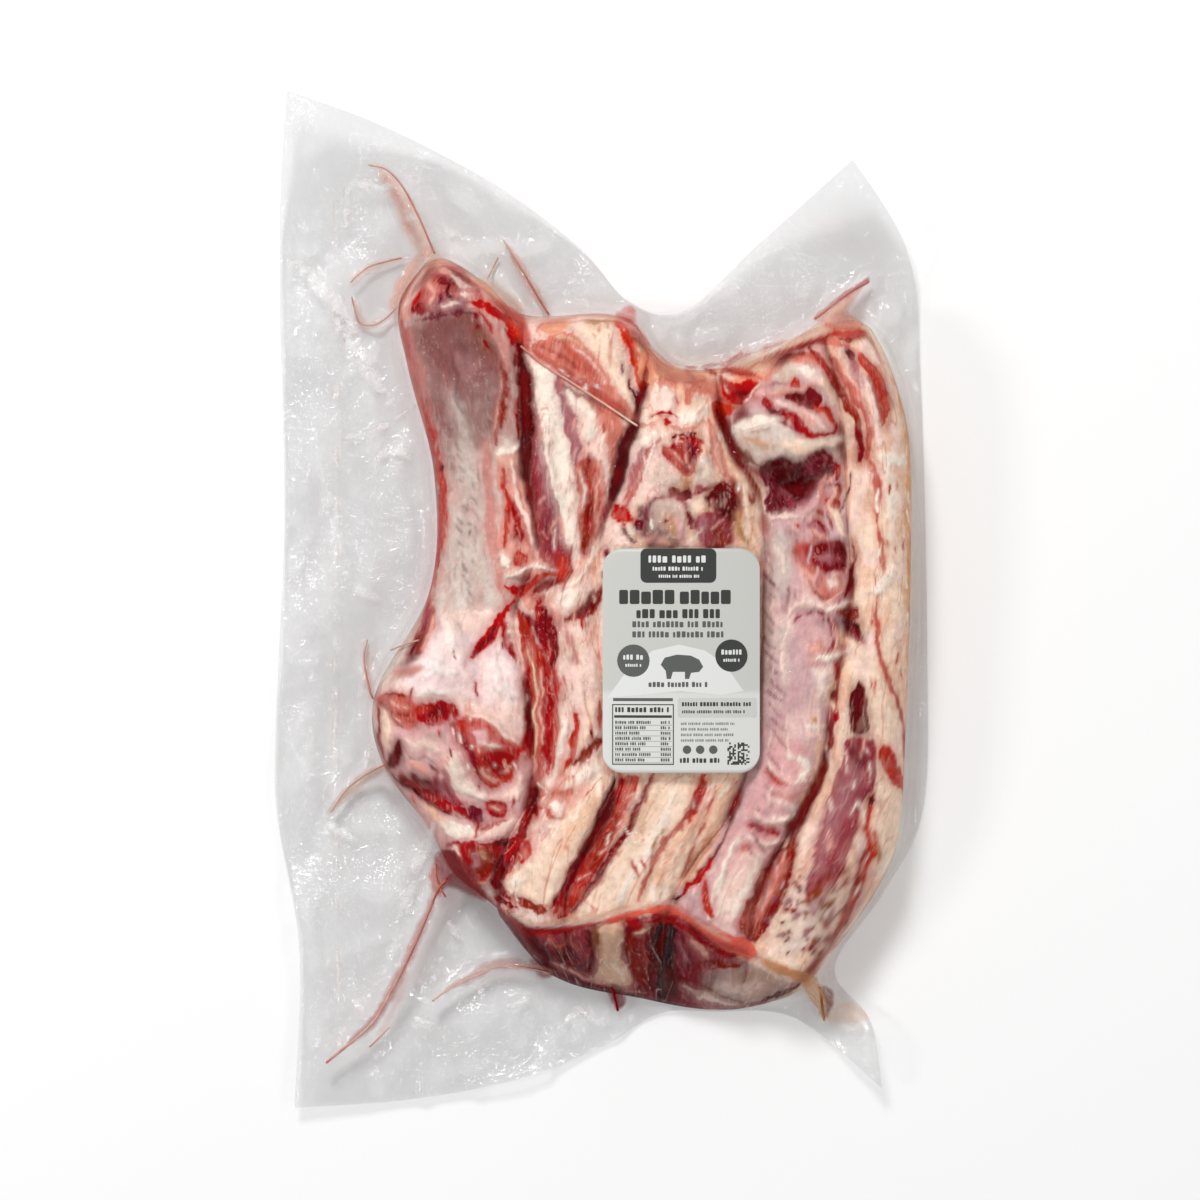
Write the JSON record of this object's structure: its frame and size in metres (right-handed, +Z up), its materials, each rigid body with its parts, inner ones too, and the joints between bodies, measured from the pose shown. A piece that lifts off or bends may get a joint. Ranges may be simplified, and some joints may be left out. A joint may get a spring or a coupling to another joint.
{
  "type": "vacuum pack of pork ribs",
  "caption": "Lumpy raw pork rib strips side by side, shrunk tight in a clear flat plastic bag with a wide empty margin, curled corners and a rounded data label.",
  "frame": {"origin": "centre of the bounding box, on the flat face the pack lies on", "axes": "+X across the pack to the right of the label, +Y towards the upper edge of the label and the wide end of the bag, +Z up out of the labelled side"},
  "size_m": [0.2967, 0.46, 0.0571],
  "materials": {
    "bag": "clear glossy film over wet raw meat",
    "label": "satin printed label"
  },
  "bodies": {
    "root": {"bag": "bag", "label": "label"}
  },
  "joints": []
}
